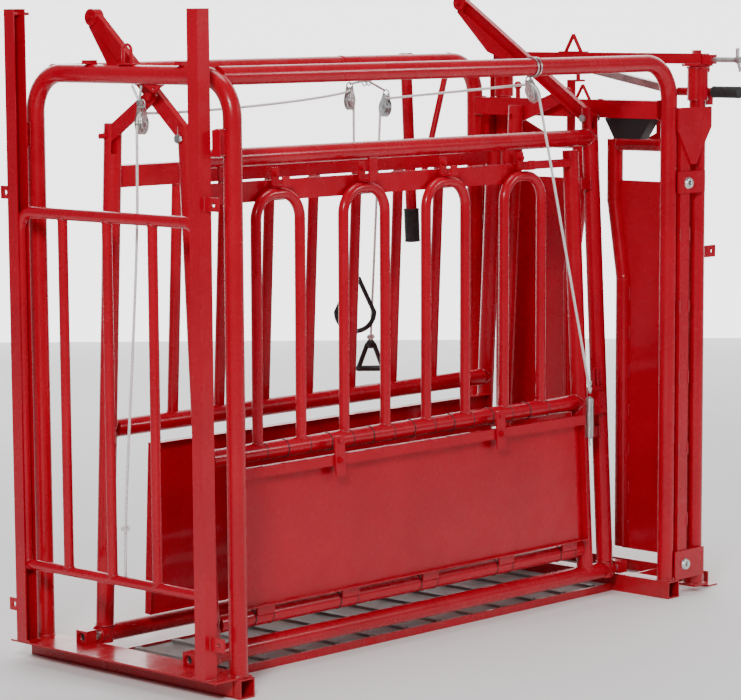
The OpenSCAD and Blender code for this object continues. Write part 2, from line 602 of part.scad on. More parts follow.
// ---------------------------------------------------------------- ropes and pulleys
tail_fall_route = [[-86, -36, 340], [-86, -36, 430], [-81, -36, 540], [-68, -37, 740], [-51, -38, 960],
    [-36, -39, 1160], [-24, -40, 1340], [-16, -41, 1500], [-13, -41, 1640], [-12, -41, 1740], [-11, -41, 1798]];
tail_run_route = [[-11, -41, 1801], [-6, -39, 1817], [4, -35, 1828], [18, -31, 1833], [32, -26, 1833],
    [200, 30, 1829], [420, 104, 1828], [640, 178, 1829], [860, 252, 1832], [1080, 327, 1837],
    [1300, 401, 1845], [1440, 448, 1853], [1486, 464, 1857], [1500, 469, 1857], [1516, 474, 1850],
    [1525, 477, 1839], [1528, 478, 1824], [1527, 477, 1700], [1526, 475, 1500], [1524, 472, 1320],
    [1522, 470, 1201]];
head_route = concat(line([1604, 470, 939.5], on_sheave(far_pulley_2, 180), 4),
    [for (a = [165:-15:105]) on_sheave(far_pulley_2, a)],
    line(on_sheave(far_pulley_2, 95), on_sheave(front_pulley, 85), 5),
    [for (a = [100:16:180]) on_sheave(front_pulley, a)],
    line(on_sheave(front_pulley, 194), [1950, -300, 772], 5));

module tail_rope_fall() color("white") placed() sweep(tail_fall_route, rope_d / 2, 8, [0, 1, 0]);
module tail_rope_run() color("white") placed() sweep(tail_run_route, rope_d / 2, 8, [-0.32, 0.95, 0]);
module head_rope() color("white") placed() sweep(head_route, rope_d / 2, 8, [0.95, -0.3, 0.1]);

module head_spring() color(zinc) placed() {
    turns = 8;
    steps = 10;
    wire = [for (i = [0:turns * steps]) spring_top + [spring_r * cos(360 * i / steps),
        spring_r * sin(360 * i / steps), -8 - (spring_h - 40) * i / (turns * steps)]];
    sweep(wire, 2.5, 6, [0, 0, 1]);
    translate(spring_top + [0, 0, -4]) cylinder(h = 8, r = spring_r);
    translate(spring_top + [0, 0, 20 - spring_h]) cylinder(h = 8, r = spring_r);
}

// A round pull ring: a rod bent to an upright oval
module ring_handle() color(black) placed() translate([1521, 470, 1066]) rotate([0, 0, -45]) {
    w = 70;
    for (e = [-1, 1]) rod([e * w, 0, -20], [e * 12, 0, 108], 8.6);
    translate([0, 0, -22]) rotate([90, 0, 0]) rotate([0, 0, 180]) rotate_extrude(angle = 180)
        translate([w, 0]) circle(r = 9);
    for (e = [-1, 1]) translate([e * w, 0, -21]) sphere(r = 9.6);
    translate([0, 0, 104]) cylinder(h = 30, r = 16);
}
module d_handle() color(black) placed() translate([1602, 469, 868]) rotate([0, 0, -45]) {
    w = 46;
    for (e = [-1, 1]) rod([e * w, 0, -40], [e * 12, 0, 52], 9);
    rotate([0, 90, 0]) translate([40, 0, -w]) cylinder(h = 2 * w, r = 11);
    for (e = [-1, 1]) translate([e * w, 0, -40]) sphere(r = 11);
    translate([0, 0, 52]) sphere(r = 18);
    translate([0, 0, 50]) cylinder(h = 20, r = 8);
}

module sheave(p) color(zinc) placed() translate(p[0]) rotate([p[2], 0, p[1]]) rotate([90, 0, 0])
    rotate_extrude(convexity = 4) polygon([[6.05, -7.5], [sheave_rim, -7.5], [sheave_rim, -6.3], [26, -4.6],
        [26, 4.6], [sheave_rim, 6.3], [sheave_rim, 7.5], [6.05, 7.5]]);
module rear_sheave() sheave(rear_pulley);
module sheave_1() sheave(far_pulley_1);
module sheave_2() sheave(far_pulley_2);
module front_sheave() sheave(front_pulley);

rear_base_beam();
front_base_beam();
base_rails();
floor_pan();
front_sill();
rear_hoop();
near_top_rail();
far_top_rail();
tail_channels();
rope_hangers();
header_beam();
latch_housing();
top_beam();
head_gate_sides();
pivot_pipes();
arm_guides();
pulley_blocks();
adjusting_screw();
tail_gate();
near_side_frame();
near_hinge_tubes();
near_side_rails();
arm_bolts();
drop_bar_1();
drop_bar_2();
drop_bar_3();
drop_bar_4();
bar_latch_1();
bar_latch_2();
bar_latch_3();
bar_latch_4();
kick_panel();
panel_latch_rear();
panel_latch_front();
front_latch();
far_side_frame();
far_side_bars();
far_panel();
rear_arm();
front_arm();
rear_link();
front_link();
squeeze_lever();
lever_grip();
lever_rod();
near_door();
far_door();
door_grip();
tie_bar();
tail_rope_fall();
tail_rope_run();
head_rope();
head_spring();
ring_handle();
d_handle();
rear_sheave();
sheave_1();
sheave_2();
front_sheave();
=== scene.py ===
import json
import math
import random

import bmesh
import bpy
from mathutils import Matrix, Vector


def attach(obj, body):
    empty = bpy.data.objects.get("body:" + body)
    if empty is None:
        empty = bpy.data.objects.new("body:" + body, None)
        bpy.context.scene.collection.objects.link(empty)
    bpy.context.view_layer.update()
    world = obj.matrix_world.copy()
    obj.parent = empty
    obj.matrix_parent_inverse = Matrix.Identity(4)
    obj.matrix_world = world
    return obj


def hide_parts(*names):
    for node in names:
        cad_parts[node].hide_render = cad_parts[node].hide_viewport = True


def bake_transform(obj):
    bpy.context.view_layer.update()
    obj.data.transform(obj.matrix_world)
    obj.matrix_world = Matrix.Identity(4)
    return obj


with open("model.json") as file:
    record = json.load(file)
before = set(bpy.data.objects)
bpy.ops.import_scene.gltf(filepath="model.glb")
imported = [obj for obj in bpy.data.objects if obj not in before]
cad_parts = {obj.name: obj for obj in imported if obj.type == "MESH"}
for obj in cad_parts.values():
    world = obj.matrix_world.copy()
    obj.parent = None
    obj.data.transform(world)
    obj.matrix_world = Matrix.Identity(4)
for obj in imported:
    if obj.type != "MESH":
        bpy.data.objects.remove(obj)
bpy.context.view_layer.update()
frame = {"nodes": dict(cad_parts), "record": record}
nodes = frame["nodes"]
random.seed(7)

# Sizes in metres, the same as in the CAD. Design points are given from the rear hoop's foot line, and at()
# moves them into the shared frame.
MAIN_R = 0.03015
RAIL_Y = 0.468
LEG_X = 2.186
HINGE_X = 2.355
ROPE_R = 0.0045
SHIFT = Vector((-1.1825, 0.0535, 0.0))
# Squeeze sides: pivots, lean, posts and tubes
PIVOT_Y, PIVOT_Z = 0.260, 0.090
LEAN = math.radians(2.85)
REAR_POST_X, FRONT_POST_X = 0.080, 2.090
UPRIGHT_X = 1.975
TOP_TUBE_H, MID_TUBE_H, LOW_TUBE_H = 1.598, 0.635, 0.097
FAR_TUBE_H = 0.695
# Drop bars: the first one's place, their spacing, and half the spacing of one bar's legs
FIRST_BAR, BAR_STEP, BAR_HALF = 0.430, 0.408, 0.101
BAR_TILT = math.radians(3.0)
PANEL_KNUCKLES = (0.300, 0.700, 1.100, 1.500, 1.850)
PANEL_LATCHES = {"panel_latch_rear": 0.640, "panel_latch_front": 1.455}
# Tail gate, head gate and lever
TAIL_X, TAIL_TOP_Z, TAIL_LOW_Z = -0.110, 1.507, 0.334
NECK_Y = 0.085
SCREW_Z = 1.966
GRIP_X, GRIP_Z = 2.420, 1.847
LEVER_TILT = math.radians(2.8)
# Outer face of the head gate's straps, and the spring's axis
STRAP_Y = 0.5072
SPRING_X, SPRING_Y = 1.950, -0.300

LONG = Vector((1.0, 0.0, 0.0))
ACROSS = Vector((0.0, 1.0, 0.0))
UP = Vector((0.0, 0.0, 1.0))
# Inward and upward directions of each leaning squeeze side
NEAR_IN = Vector((0.0, math.cos(LEAN), -math.sin(LEAN)))
NEAR_UP = Vector((0.0, math.sin(LEAN), math.cos(LEAN)))
FAR_IN = Vector((0.0, -math.cos(LEAN), -math.sin(LEAN)))
FAR_UP = Vector((0.0, -math.sin(LEAN), math.cos(LEAN)))


def at(x, y, z):
    """A design point in the shared frame."""
    return Vector((x, y, z)) + SHIFT


def near_at(x, y, z):
    """A point given along the chute, inward and up from the near side's pivot, in the shared frame."""
    return at(x, -PIVOT_Y, PIVOT_Z) + NEAR_IN * y + NEAR_UP * z


def far_at(x, y, z):
    """A point given along the chute, inward and up from the far side's pivot, in the shared frame."""
    return at(x, PIVOT_Y, PIVOT_Z) + FAR_IN * y + FAR_UP * z


def bar_leg(k, e):
    """Place along the chute of a leg of drop bar k: its rear leg for e = -1, its front leg for e = 1."""
    return FIRST_BAR + BAR_STEP * k + e * BAR_HALF


# ---------------------------------------------------------------- camera
CAMERA_PLACE = at(-6.513, -7.239, 2.186)
CAMERA_YAW, CAMERA_PITCH, CAMERA_ROLL = math.radians(46.14), math.radians(-7.83), 0.00625


def make_camera():
    sight = Vector((math.sin(CAMERA_YAW), math.cos(CAMERA_YAW), 0.0))
    level = Vector((math.cos(CAMERA_YAW), -math.sin(CAMERA_YAW), 0.0))
    forward = sight * math.cos(CAMERA_PITCH) + UP * math.sin(CAMERA_PITCH)
    over = level.cross(forward)
    right, up = level - over * CAMERA_ROLL, over + level * CAMERA_ROLL
    turn = Matrix((right.normalized(), up.normalized(), -forward)).transposed().to_4x4()
    data = bpy.data.cameras.new("camera")
    data.lens = 146.9
    data.sensor_width = 36.0
    data.shift_x, data.shift_y = 0.0229, 0.0897
    data.clip_end = 60.0
    camera = bpy.data.objects.new("camera", data)
    camera.matrix_world = Matrix.Translation(CAMERA_PLACE) @ turn
    bpy.context.scene.collection.objects.link(camera)
    bpy.context.scene.camera = camera


make_camera()


# ---------------------------------------------------------------- node material helpers
class Shader:
    """A principled material under construction."""

    def __init__(self, name):
        self.material = bpy.data.materials.new(name)
        self.material.use_nodes = True
        self.tree = self.material.node_tree
        self.out = self.tree.nodes["Principled BSDF"]
        self.place = self.node("ShaderNodeTexCoord").outputs["Object"]

    def node(self, kind, **values):
        made = self.tree.nodes.new(kind)
        for key, value in values.items():
            setattr(made, key, value)
        return made

    def link(self, a, b):
        self.tree.links.new(a, b)

    def noise(self, scale, detail=4.0, rough=0.55, stretch=None):
        made = self.node("ShaderNodeTexNoise")
        made.inputs["Scale"].default_value = scale
        made.inputs["Detail"].default_value = detail
        made.inputs["Roughness"].default_value = rough
        place = self.place
        if stretch:
            mapping = self.node("ShaderNodeMapping")
            mapping.inputs["Scale"].default_value = stretch
            self.link(self.place, mapping.inputs["Vector"])
            place = mapping.outputs["Vector"]
        self.link(place, made.inputs["Vector"])
        return made.outputs["Fac"]

    def ramp(self, source, stops):
        made = self.node("ShaderNodeValToRGB")
        cells = made.color_ramp.elements
        while len(cells) < len(stops):
            cells.new(0.5)
        for cell, (position, colour) in zip(cells, stops):
            cell.position = position
            cell.color = (*colour, 1.0)
        self.link(source, made.inputs["Fac"])
        return made.outputs["Color"]

    def span(self, source, low, high, start=0.0, end=1.0):
        made = self.node("ShaderNodeMapRange")
        made.inputs["From Min"].default_value = start
        made.inputs["From Max"].default_value = end
        made.inputs["To Min"].default_value = low
        made.inputs["To Max"].default_value = high
        self.link(source, made.inputs["Value"])
        return made.outputs["Result"]

    def mix(self, factor, a, b):
        made = self.node("ShaderNodeMix", data_type="RGBA")
        self.link(factor, made.inputs["Factor"])
        for socket, value in (("A", a), ("B", b)):
            place = [i for i in made.inputs if i.name == socket and i.type == "RGBA"][0]
            if isinstance(value, tuple):
                place.default_value = (*value, 1.0)
            else:
                self.link(value, place)
        return [o for o in made.outputs if o.type == "RGBA"][0]

    def height(self, *layers):
        """Bump layers as (source, strength, distance in metres), each laid over the one before."""
        last = None
        for source, strength, distance in layers:
            bump = self.node("ShaderNodeBump")
            bump.inputs["Strength"].default_value = strength
            bump.inputs["Distance"].default_value = distance
            self.link(source, bump.inputs["Height"])
            if last:
                self.link(last, bump.inputs["Normal"])
            last = bump.outputs["Normal"]
        self.link(last, self.out.inputs["Normal"])

    def low_dust(self, top):
        """0 above the height top, and 1 at the ground, broken up by noise."""
        split = self.node("ShaderNodeSeparateXYZ")
        self.link(self.place, split.inputs["Vector"])
        height = self.span(split.outputs["Z"], 1.0, 0.0, 0.0, top)
        broken = self.node("ShaderNodeMath", operation="MULTIPLY", use_clamp=True)
        self.link(height, broken.inputs[0])
        self.link(self.span(self.noise(9.0, 6.0, 0.7), 0.0, 1.0, 0.35, 0.75), broken.inputs[1])
        return broken.outputs["Value"]


def red_paint():
    """Glossy red powder coat: faint orange peel, cloudy gloss, light scuffs and dust near the ground."""
    s = Shader("red_powder_coat")
    base = s.ramp(s.noise(3.0, 3.0), [(0.3, (0.38, 0.0002, 0.0110)), (0.7, (0.47, 0.0003, 0.0150))])
    scuff = s.span(s.noise(38.0, 10.0, 0.78), 0.0, 1.0, 0.70, 0.78)
    worn = s.mix(scuff, base, (0.31, 0.004, 0.013))
    dusty = s.mix(s.span(s.low_dust(0.16), 0.0, 0.30), worn, (0.24, 0.10, 0.085))
    s.link(dusty, s.out.inputs["Base Color"])
    s.link(s.span(s.noise(14.0, 6.0), 0.20, 0.34, 0.3, 0.7), s.out.inputs["Roughness"])
    s.out.inputs["Coat Weight"].default_value = 0.18
    s.out.inputs["Coat Roughness"].default_value = 0.07
    s.out.inputs["Specular IOR Level"].default_value = 0.22
    s.height((s.noise(420.0, 2.0), 0.10, 0.0004), (s.noise(24.0, 3.0), 0.10, 0.0012), (scuff, 0.10, 0.0002))
    return s.material


def weld_paint():
    """The same paint over a weld bead's ripples."""
    s = Shader("red_weld_bead")
    base = s.ramp(s.noise(30.0), [(0.3, (0.31, 0.0002, 0.0100)), (0.7, (0.42, 0.0003, 0.0130))])
    s.link(base, s.out.inputs["Base Color"])
    s.link(s.span(s.noise(60.0), 0.25, 0.45), s.out.inputs["Roughness"])
    s.out.inputs["Coat Weight"].default_value = 0.4
    s.out.inputs["Coat Roughness"].default_value = 0.15
    s.height((s.noise(260.0, 4.0), 0.4, 0.0012))
    return s.material


def zinc_plate():
    """Zinc plated steel: cool patches, fine draw marks, dull spots."""
    s = Shader("zinc")
    base = s.ramp(s.noise(22.0, 6.0), [(0.25, (0.42, 0.42, 0.43)), (0.6, (0.68, 0.68, 0.67)),
                                       (0.8, (0.60, 0.57, 0.50))])
    s.link(base, s.out.inputs["Base Color"])
    s.out.inputs["Metallic"].default_value = 1.0
    s.link(s.span(s.noise(60.0, 8.0), 0.24, 0.48), s.out.inputs["Roughness"])
    s.height((s.noise(500.0, 3.0, 0.5, (1.0, 1.0, 0.1)), 0.12, 0.0003), (s.noise(90.0), 0.08, 0.0006))
    return s.material


def dark_steel():
    """Satin black coating with rubbed lighter spots."""
    s = Shader("black_steel")
    rub = s.span(s.noise(60.0, 8.0, 0.7), 0.0, 1.0, 0.62, 0.75)
    s.link(s.mix(rub, (0.012, 0.012, 0.013), (0.06, 0.058, 0.055)), s.out.inputs["Base Color"])
    s.link(s.span(s.noise(25.0), 0.28, 0.5), s.out.inputs["Roughness"])
    s.height((s.noise(380.0, 2.0), 0.15, 0.0004), (rub, 0.1, 0.0003))
    return s.material


def grip_rubber():
    """Matte rubber with a fine pebbled skin and pale handling marks."""
    s = Shader("rubber_grip")
    s.link(s.ramp(s.noise(45.0, 6.0), [(0.3, (0.010, 0.010, 0.011)), (0.75, (0.032, 0.031, 0.031))]),
           s.out.inputs["Base Color"])
    s.link(s.span(s.noise(70.0), 0.55, 0.8), s.out.inputs["Roughness"])
    s.height((s.noise(700.0, 2.0), 0.35, 0.0005))
    return s.material


def rope_fibre():
    """White braided rope: soft fibres and a little grey in the hollows."""
    s = Shader("white_rope")
    s.link(s.ramp(s.noise(160.0, 5.0), [(0.25, (0.55, 0.52, 0.50)), (0.6, (0.84, 0.82, 0.80))]),
           s.out.inputs["Base Color"])
    s.link(s.span(s.noise(300.0), 0.7, 0.95), s.out.inputs["Roughness"])
    s.out.inputs["Sheen Weight"].default_value = 0.4
    s.height((s.noise(1600.0, 3.0), 0.5, 0.0004))
    return s.material


def grit_floor():
    """Grey anti-slip floor plate with grit, dried mud and scraped cleats."""
    s = Shader("floor_plate")
    grit = s.noise(520.0, 3.0, 0.6)
    mud = s.span(s.noise(7.0, 8.0, 0.65), 0.0, 1.0, 0.42, 0.68)
    plate = s.ramp(grit, [(0.3, (0.10, 0.095, 0.095)), (0.7, (0.30, 0.285, 0.28))])
    s.link(s.mix(mud, plate, (0.32, 0.26, 0.235)), s.out.inputs["Base Color"])
    s.link(s.span(mud, 0.55, 0.85), s.out.inputs["Roughness"])
    s.height((grit, 0.6, 0.0012), (s.noise(40.0, 6.0), 0.3, 0.002))
    return s.material


RED, WELD, ZINC = red_paint(), weld_paint(), zinc_plate()
BLACK, RUBBER, ROPE, FLOOR = dark_steel(), grip_rubber(), rope_fibre(), grit_floor()
SLOT_MATERIAL = {"red_powder_coat": RED, "zinc": ZINC, "black_steel": BLACK, "rubber_grip": RUBBER,
                 "white_rope": ROPE, "floor_plate": FLOOR}


# ---------------------------------------------------------------- mesh helpers
def new_piece(name, mesh_work, material, body):
    """A smooth mesh piece built by mesh_work(bmesh). It rides on a body, if one is given."""
    bm = bmesh.new()
    mesh_work(bm)
    bmesh.ops.recalc_face_normals(bm, faces=bm.faces)
    mesh = bpy.data.meshes.new(name)
    bm.to_mesh(mesh)
    bm.free()
    mesh.polygons.foreach_set("use_smooth", [True] * len(mesh.polygons))
    mesh.materials.append(material)
    piece = bpy.data.objects.new(name, mesh)
    bpy.context.scene.collection.objects.link(piece)
    if body:
        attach(piece, body)
    return piece


# A way that no path here starts out along
SKEW = Vector((0.31, 0.27, 0.91))


def frame_along(points):
    """Side and up at each point, turned as little as possible from one to the next."""
    count = len(points)
    tangents = [(points[min(i + 1, count - 1)] - points[max(i - 1, 0)]).normalized() for i in range(count)]
    side = tangents[0].cross(SKEW).normalized()
    frames = []
    for tangent in tangents:
        side = (side - tangent * side.dot(tangent)).normalized()
        frames.append((side, tangent.cross(side)))
    return frames


def square_to(axis):
    """Two directions square to an axis and to each other."""
    u = axis.orthogonal().normalized()
    return u, axis.cross(u)


def circle(centre, u, v, radius, count):
    """Points round a circle in the plane of u and v."""
    turns = [2 * math.pi * k / count for k in range(count)]
    return [centre + (u * math.cos(turn) + v * math.sin(turn)) * radius for turn in turns]


def skin(bm, rings, closed=False):
    """Faces between rings of points, with a cap at each end unless the rings close on themselves."""
    rings = [[bm.verts.new(point) for point in ring] for ring in rings]
    sides = len(rings[0])
    for a, b in list(zip(rings, rings[1:])) + ([(rings[-1], rings[0])] if closed else []):
        for k in range(sides):
            bm.faces.new((a[k], a[(k + 1) % sides], b[(k + 1) % sides], b[k]))
    if not closed:
        bm.faces.new(list(reversed(rings[0])))
        bm.faces.new(rings[-1])


def add_tube(bm, points, radius, sides=12, shape=None):
    """A tube along points. shape(i, k) scales the radius at ring i, corner k."""
    rings = []
    for i, (point, (side, up)) in enumerate(zip(points, frame_along(points))):
        ring = []
        for k in range(sides):
            turn = 2 * math.pi * k / sides
            r = radius * (shape(i, k) if shape else 1.0)
            ring.append(point + side * (r * math.cos(turn)) + up * (r * math.sin(turn)))
        rings.append(ring)
    skin(bm, rings)


def add_ring(bm, centre, axis, radius, wire, sides=10, steps=28):
    """A round wire ring about an axis."""
    axis = Vector(axis).normalized()
    u, v = square_to(axis)
    rings = [circle(point, (point - centre).normalized(), axis, wire, sides)
             for point in circle(centre, u, v, radius, steps)]
    skin(bm, rings, closed=True)


def add_lathe(bm, centre, axis, profile, steps=32):
    """A turned shape: profile is (distance along the axis, radius) pairs."""
    axis = Vector(axis).normalized()
    u, v = square_to(axis)
    skin(bm, [circle(centre + axis * along, u, v, radius, steps) for along, radius in profile])


def smooth_path(points, step):
    """The points joined by one smooth curve, with a point about every step metres."""
    points = [Vector(p) for p in points]
    ends = [points[0] * 2 - points[1]] + points + [points[-1] * 2 - points[-2]]
    path = []
    for a, b, c, d in zip(ends, ends[1:], ends[2:], ends[3:]):
        parts = max(1, round((c - b).length / step))
        for i in range(parts):
            t = i / parts
            path.append(0.5 * (2 * b + (c - a) * t + (2 * a - 5 * b + 4 * c - d) * t * t
                               + (3 * b - a - 3 * c + d) * t ** 3))
    path.append(points[-1])
    return path


# ---------------------------------------------------------------- ropes
def rope(name, route, body=None, joined=None):
    """A laid rope along a route. joined is (body a, body b) where the rope stretches between two bodies; the
    two bodies are not used, and a joined rope is only baked into place.
    """
    path = smooth_path(route, 0.003)
    strands, lay, sides = 3, 0.028, 18
    travelled = [0.0]
    for a, b in zip(path, path[1:]):
        travelled.append(travelled[-1] + (b - a).length)

    def bulge(i, k):
        turn = 2 * math.pi * (k / sides + travelled[i] / lay)
        return 0.93 + 0.10 * abs(math.cos(strands * turn / 2))

    piece = new_piece(name, lambda bm: add_tube(bm, path, ROPE_R, sides, bulge), ROPE, body)
    if joined:
        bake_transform(piece)
    return piece


def metres(route):
    """A route in millimetres from the rear hoop's foot line, as points in the shared frame."""
    return [at(x / 1000, y / 1000, z / 1000) for x, y, z in route]


# The same routes as the CAD ropes
TAIL_FALL = [(-86, -36, 340), (-86, -36, 430), (-81, -36, 540), (-68, -37, 740), (-51, -38, 960),
             (-36, -39, 1160), (-24, -40, 1340), (-16, -41, 1500), (-13, -41, 1640), (-12, -41, 1740),
             (-11, -41, 1798)]
TAIL_RUN = [(-11, -41, 1801), (-6, -39, 1817), (4, -35, 1828), (18, -31, 1833), (32, -26, 1833),
            (200, 30, 1829), (420, 104, 1828), (640, 178, 1829), (860, 252, 1832), (1080, 327, 1837),
            (1300, 401, 1845), (1440, 448, 1853), (1486, 464, 1857), (1500, 469, 1857), (1516, 474, 1850),
            (1525, 477, 1839), (1528, 478, 1824)]
TAIL_DROP = [(1528, 478, 1824), (1527, 477, 1700), (1526, 475, 1500), (1524, 472, 1320), (1522, 470, 1201)]

# Pulleys as (centre, turn about the vertical, lean of the sheave's plane), in metres and degrees
SHEAVE_R = 0.033
REAR_PULLEY = ((0.020, -0.030, 1.800), 18.6, 0.0)
FAR_PULLEY_1 = ((1.497, RAIL_Y, 1.824), 18.6, 0.0)
FAR_PULLEY_2 = ((1.686, RAIL_Y, 1.793), -105.0, -5.4)
FRONT_PULLEY = ((1.430, -RAIL_Y, 1.868), 75.0, -21.7)


def pulley_turn(pulley):
    """Rotation of a pulley's own frame: x in the sheave's plane, y along its axle."""
    _, yaw, lean = pulley
    return Matrix.Rotation(math.radians(yaw), 3, "Z") @ Matrix.Rotation(math.radians(lean), 3, "X")


def on_sheave(pulley, angle):
    """A point of the rope's centre line on a sheave, at an angle from the horizontal."""
    turn = math.radians(angle)
    return at(*pulley[0]) + pulley_turn(pulley) @ Vector((math.cos(turn), 0.0, math.sin(turn))) * SHEAVE_R


def straight(a, b, parts):
    """The points that part the line from a to b into equal lengths."""
    return [a.lerp(b, i / parts) for i in range(parts + 1)]


HEAD_DROP = straight(at(1.604, 0.470, 0.9395), on_sheave(FAR_PULLEY_2, 180), 4)
HEAD_RUN = ([on_sheave(FAR_PULLEY_2, a) for a in range(180, 104, -15)]
            + straight(on_sheave(FAR_PULLEY_2, 95), on_sheave(FRONT_PULLEY, 85), 5)
            + [on_sheave(FRONT_PULLEY, a) for a in range(100, 181, 16)])
HEAD_FALL = straight(on_sheave(FRONT_PULLEY, 194), at(SPRING_X, SPRING_Y, 0.772), 5)
HEAD_RUN.append(HEAD_FALL[0])

rope_fall = rope("tail_rope_fall_rope", metres(TAIL_FALL), joined=("tail_gate", "frame"))
rope_run = rope("tail_rope_run_rope", metres(TAIL_RUN), body="frame")
rope("tail_rope_drop_rope", metres(reversed(TAIL_DROP)), joined=("ring_handle", "frame"))
rope("head_rope_drop_rope", HEAD_DROP, joined=("d_handle", "frame"))
head_run = rope("head_rope_run_rope", HEAD_RUN, body="frame")
rope("head_rope_fall_rope", HEAD_FALL, joined=("frame", "near_side"))
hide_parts("tail_rope_fall")
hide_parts("tail_rope_run")
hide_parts("head_rope")


# ---------------------------------------------------------------- CAD nodes: finishes
def finish_cad_nodes():
    """The Blender material of each CAD node's slot."""
    for entry in frame["record"]["subparts"]:
        node = nodes[entry["node"]]
        node.data.materials.clear()
        node.data.materials.append(SLOT_MATERIAL[entry["material_slot"]])


finish_cad_nodes()


# ---------------------------------------------------------------- welds
# Radius of a bead, and the distance from one ripple to the next
BEAD_R = 0.0034
BEAD_STEP = 0.0028


def weld_curve(bm, points, normal_of, closed, size):
    """A rippled weld bead along points. normal_of(i) is the way the bead faces."""
    count = len(points)
    rings = []
    for i, point in enumerate(points):
        if closed:
            before, after = points[i - 1], points[(i + 1) % count]
        else:
            before, after = points[max(i - 1, 0)], points[min(i + 1, count - 1)]
        along = (after - before).normalized()
        out = normal_of(i)
        out = (out - along * out.dot(along)).normalized()
        r = size * (0.88 + 0.22 * (i % 3) / 2 + 0.06 * random.random())
        rings.append(circle(point, out, along.cross(out), r, 8))
    skin(bm, rings, closed)


def round_steps(radius):
    """How many points a bead takes round a circle."""
    return max(30, round(2 * math.pi * radius / BEAD_STEP))


def weld_round(bm, centre, axis, radius, size=BEAD_R):
    """A bead round a tube that stands square on a flat face."""
    axis = Vector(axis).normalized()
    u, v = square_to(axis)
    points = circle(centre, u, v, radius, round_steps(radius))
    weld_curve(bm, points, lambda i: axis + (points[i] - centre).normalized(), True, size)


def weld_saddle(bm, centre, bar, main, bar_r, main_r):
    """A bead where a round bar runs square into a bigger round tube whose axis passes through centre."""
    bar, main = Vector(bar).normalized(), Vector(main).normalized()
    across = bar.cross(main)
    points, outs = [], []
    for off in circle(Vector(), across, main, bar_r, round_steps(bar_r)):
        rise = math.sqrt(max(0.0, main_r ** 2 - off.dot(across) ** 2))
        points.append(centre + off + bar * rise)
        outs.append(off.normalized() + bar)
    weld_curve(bm, points, lambda i: outs[i], True, BEAD_R)


def weld_line(bm, a, b, out):
    """A straight bead from a to b that faces out."""
    steps = max(3, round((b - a).length / BEAD_STEP))
    weld_curve(bm, straight(a, b, steps), lambda i: Vector(out), False, BEAD_R)


def frame_welds(bm):
    for s in (-1, 1):
        weld_round(bm, at(0, s * RAIL_Y, 0.0695), UP, MAIN_R)
        weld_round(bm, at(LEG_X, s * RAIL_Y, 0.0635), UP, MAIN_R)
        # hoop leg to the channel's tie plate
        low, high = 1.715, 1.795
        for z in (low, high):
            weld_line(bm, at(-0.078, s * RAIL_Y - 0.004, z), at(-0.031, s * RAIL_Y - 0.004, z), (0, -s, 0))
        y = s * RAIL_Y - s * 0.005
        weld_line(bm, at(-0.0295, y, low), at(-0.0295, y, high), (-1, -s, 0))
        # alley lugs to the channel, and the channel's foot on the shelf
        y = s * 0.4592
        for z in (0.165, 1.546):
            weld_line(bm, at(-0.1145, y, z), at(-0.1145, y, z + 0.043), (-1, s, 0))
        weld_line(bm, at(-0.135, y, 0.070), at(-0.085, y, 0.070), (0, s, 1))
        # header beam to the front legs
        y = s * 0.4375
        for z, facing in ((1.755, -1), (1.820, 1)):
            weld_line(bm, at(LEG_X - 0.030, y, z), at(LEG_X + 0.030, y, z), (0, s, facing))
        # straps on the front leg, and stitches down both edges of the upright between them
        edge = 2.2165
        for z in (0.064, 0.170, 1.486, 1.565):
            weld_line(bm, at(edge, s * STRAP_Y, z), at(edge, s * STRAP_Y, z + 0.001), (0, s, 0))
        low, high, stitches = 0.170, 1.486, 5
        for x, facing in ((edge, -1), (2.270, 1)):
            for k in range(stitches):
                z = low + (high - low) * (k + 0.35) / stitches
                weld_line(bm, at(x, s * 0.5002, z), at(x, s * 0.5002, z + 0.045), (facing, s, 0))
        # bearing sleeves of the head gate
        for z in (0.030, 1.937):
            weld_round(bm, at(HINGE_X, s * RAIL_Y, z), UP, 0.038)
        for z in (0.110, 1.820):
            weld_round(bm, at(HINGE_X, s * RAIL_Y, z), UP, 0.0355, 0.0030)
    # shelf angle along the rear base beam, in stitches
    for k in range(6):
        y = -0.44 + k * 0.16
        weld_line(bm, at(-0.0380, y, 0.064), at(-0.0380, y + 0.05, 0.064), (-1, 0, -1))
        weld_line(bm, at(0.030, y, 0.0660), at(0.030, y + 0.05, 0.0660), (1, 0, 1))
    # latch wires on the header beam, and the top beam's near end
    for y in (-0.150, 0.090):
        weld_round(bm, at(LEG_X, y, 1.820), UP, 0.0075)
    weld_line(bm, at(2.330, -0.500, 1.950), at(2.330, -0.430, 1.950), (-1, 0, -1))
    weld_line(bm, at(2.337, -0.5005, 1.984), at(2.373, -0.5005, 1.984), (0, -1, 1))


